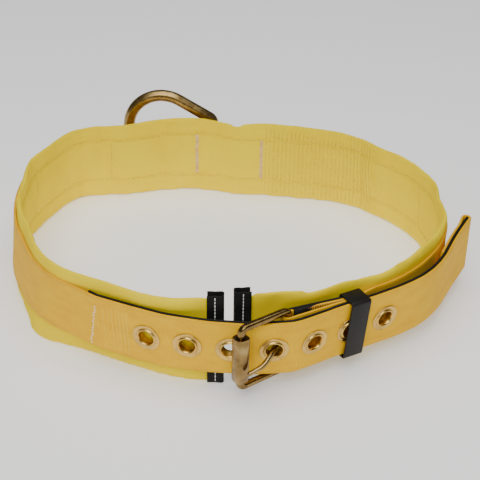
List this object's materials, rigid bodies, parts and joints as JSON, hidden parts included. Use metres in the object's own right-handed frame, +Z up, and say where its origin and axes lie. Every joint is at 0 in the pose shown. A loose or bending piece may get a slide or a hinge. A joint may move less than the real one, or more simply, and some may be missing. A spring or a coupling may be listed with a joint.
{
  "type": "padded tongue buckle belt",
  "caption": "Fastened padded work belt: webbing tongue with metal eyelets through a roller tongue buckle, sliding keeper, bound pad ends and a swinging back D-ring. Stands on its lower edge.",
  "frame": {"origin": "middle of the bounding box, at the surface that the belt stands on", "axes": "+X across the belt towards the tongue's free end, +Y from the buckle to the back ring, +Z up"},
  "size_m": [0.3628, 0.3302, 0.0901],
  "materials": {
    "pad_cloth": "soft matte lemon yellow cloth",
    "webbing": "matte golden yellow woven webbing",
    "black_tape": "matte black woven tape and stiff core",
    "keeper_rubber": "matte black moulded",
    "grommet_brass": "bright rolled brass",
    "buckle_bronze": "dull bronze plating",
    "ring_zinc": "yellow zinc plated forged steel"
  },
  "bodies": {
    "belt": {"pad": "pad_cloth", "pad_binding_left": "black_tape", "pad_binding_right": "black_tape", "belt_webbing": "webbing", "tongue_core": "black_tape", "buckle_liner": "black_tape", "grommet_1": "grommet_brass", "grommet_2": "grommet_brass", "grommet_3": "grommet_brass", "grommet_4": "grommet_brass", "grommet_5": "grommet_brass", "grommet_6": "grommet_brass", "grommet_7": "grommet_brass", "buckle_frame": "buckle_bronze", "buckle_roller": "buckle_bronze", "buckle_prong": "buckle_bronze", "keeper": "keeper_rubber", "d_ring_tab": "webbing"},
    "back_ring": {"d_ring": "ring_zinc"}
  },
  "joints": [
    {"name": "d_ring_swing", "type": "hinge", "parent": "belt", "child": "back_ring", "pos_m": [-0.03628, 0.15648, 0.036], "axis": [-0.5, 0, -0.866], "range_deg": [-5, 100]}
  ]
}
